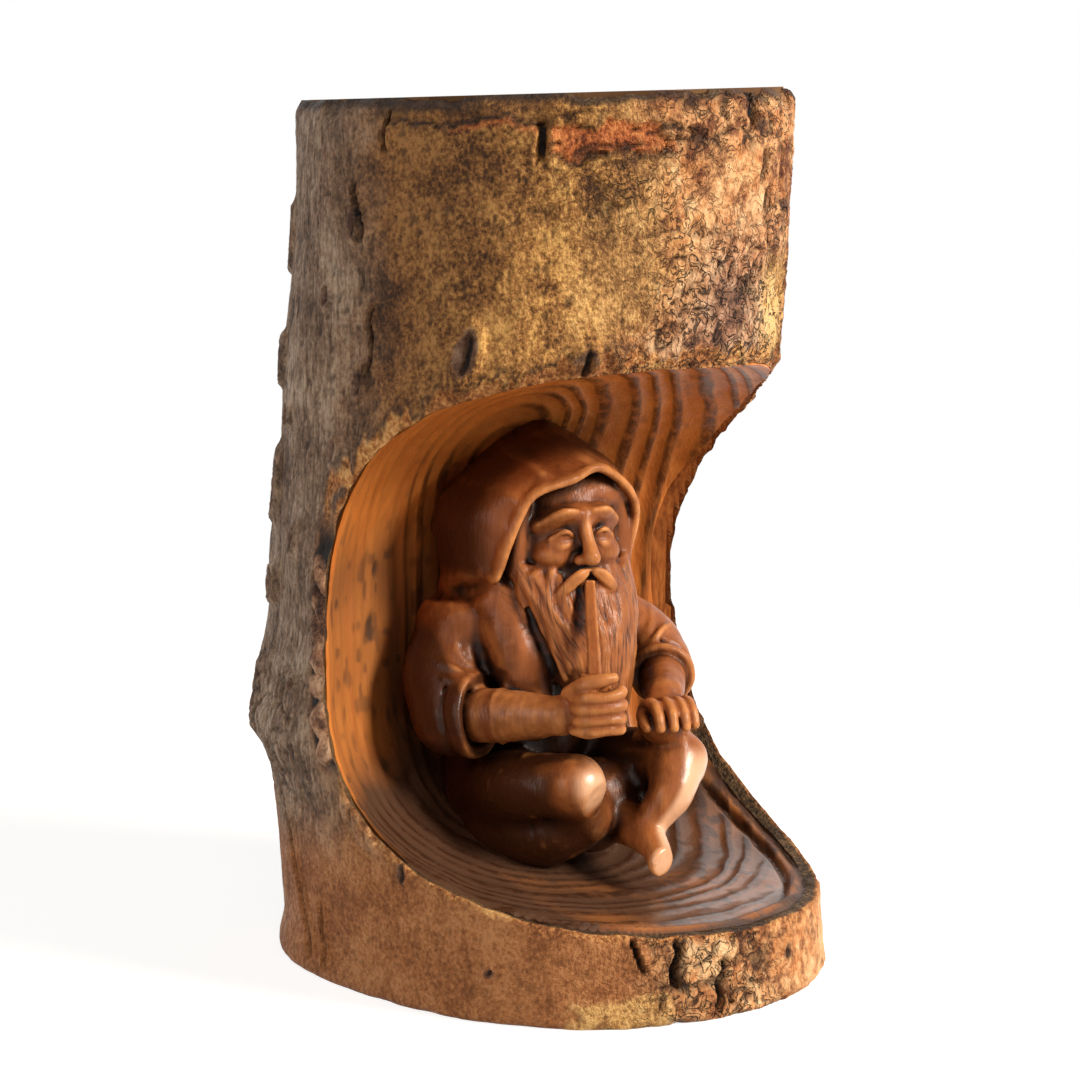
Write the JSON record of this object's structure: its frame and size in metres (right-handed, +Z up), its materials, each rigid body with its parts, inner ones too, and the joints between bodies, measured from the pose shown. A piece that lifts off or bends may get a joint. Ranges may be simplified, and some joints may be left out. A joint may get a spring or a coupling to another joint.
{
  "type": "candle holder",
  "caption": "Short bark-covered log with a scooped niche in which a hooded figure sits with a pipe, and a drop-in metal cup in the sawn top that takes a taper candle.",
  "frame": {"origin": "On the pith of the log, in the plane of its sawn foot.", "axes": "+Z up along the log; -Y the way the seated figure faces; +X to the figure's left hand."},
  "size_m": [0.0944, 0.1016, 0.1511],
  "materials": {
    "log_wood": "varnished, growth rings raised",
    "bark": "rough bark, waxed",
    "carved_wood": "stained and varnished carving",
    "dowel_wood": "plain turned",
    "pipe_wood": "stained and varnished",
    "cup_brass": "dull spun brass"
  },
  "bodies": {
    "log": {"log_core": "log_wood", "bark_jacket": "bark", "seated_figure": "carved_wood", "figure_dowel": "dowel_wood", "pipe": "pipe_wood"},
    "cup": {"candle_cup": "cup_brass"}
  },
  "joints": [
    {"name": "cup_lift", "type": "slide", "parent": "log", "child": "cup", "axis": [0, 0, 1], "range_m": [0, 0.04]}
  ]
}
